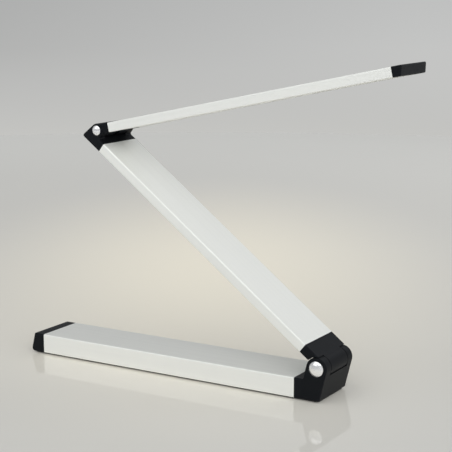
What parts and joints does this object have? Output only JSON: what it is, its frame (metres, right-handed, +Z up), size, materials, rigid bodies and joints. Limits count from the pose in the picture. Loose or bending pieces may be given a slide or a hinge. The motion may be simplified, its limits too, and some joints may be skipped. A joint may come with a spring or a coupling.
{
  "type": "led desk lamp",
  "caption": "Folding LED desk lamp: a flat weighted base bar, a lower arm and a slim light head of the same width, joined by friction hinges with black end mouldings.",
  "frame": {"origin": "on the table, at the underside of the anti-slip mat, half way along the base tube and on its middle plane", "axes": "+X along the base bar towards the lower hinge, +Y across the bars to the far side, +Z up"},
  "size_m": [0.3914, 0.0592, 0.2977],
  "materials": {
    "silver": "satin anodised",
    "black_moulding": "fine matte",
    "bright": "polished",
    "mat_rubber": "matte",
    "ballast_steel": "mill finish",
    "screw_steel": "zinc plated",
    "washer": "plain",
    "bush_brass": "turned",
    "board_green": "solder mask",
    "component_black": "moulded",
    "button_grey": "fine matte",
    "wire_sheath": "satin",
    "light_board": "white coated",
    "emitter": "phosphor",
    "milky": "frosted"
  },
  "bodies": {
    "base": {"base_tube": "silver", "base_end_cap": "black_moulding", "hinge_block": "black_moulding", "base_cap_screws": "screw_steel", "anti_slip_mat": "mat_rubber", "ballast_bar": "ballast_steel", "ballast_screws": "screw_steel", "driver_board": "board_green", "board_posts": "bush_brass", "board_screws": "screw_steel", "driver_parts": "component_black", "dc_socket": "component_black", "dc_pin": "bush_brass", "push_switch": "component_black", "base_wire": "wire_sheath", "lower_hinge_bolt": "bright", "lower_hinge_nut": "bright", "lower_hinge_washers": "washer"},
    "button": {"power_button": "button_grey"},
    "lower_arm": {"lower_arm_tube": "silver", "lower_arm_knuckle": "black_moulding", "lower_arm_fork": "black_moulding", "arm_cap_screws": "screw_steel", "arm_wire": "wire_sheath", "lower_hinge_bushes": "bush_brass", "upper_hinge_bolt": "bright", "upper_hinge_nut": "bright", "upper_hinge_washers": "washer"},
    "head": {"head_channel": "silver", "head_knuckle": "black_moulding", "head_end_cap": "black_moulding", "head_cap_screws": "screw_steel", "led_board": "light_board", "leds": "emitter", "diffuser": "milky", "head_wire": "wire_sheath", "upper_hinge_bushes": "bush_brass"}
  },
  "joints": [
    {"name": "lower_hinge", "type": "hinge", "parent": "base", "child": "lower_arm", "pos_m": [0.1617, 0, 0.03115], "axis": [0, 1, 0], "range_deg": [-37.3, 67.7]},
    {"name": "upper_hinge", "type": "hinge", "parent": "lower_arm", "child": "head", "pos_m": [-0.07112, 0, 0.22686], "axis": [0, -1, 0], "range_deg": [-49.4, 100.6]},
    {"name": "power_button_press", "type": "slide", "parent": "base", "child": "button", "axis": [1, 0, 0], "range_m": [0, 0.0012], "stiffness_N_per_m": 500, "springref_m": -0.001}
  ]
}
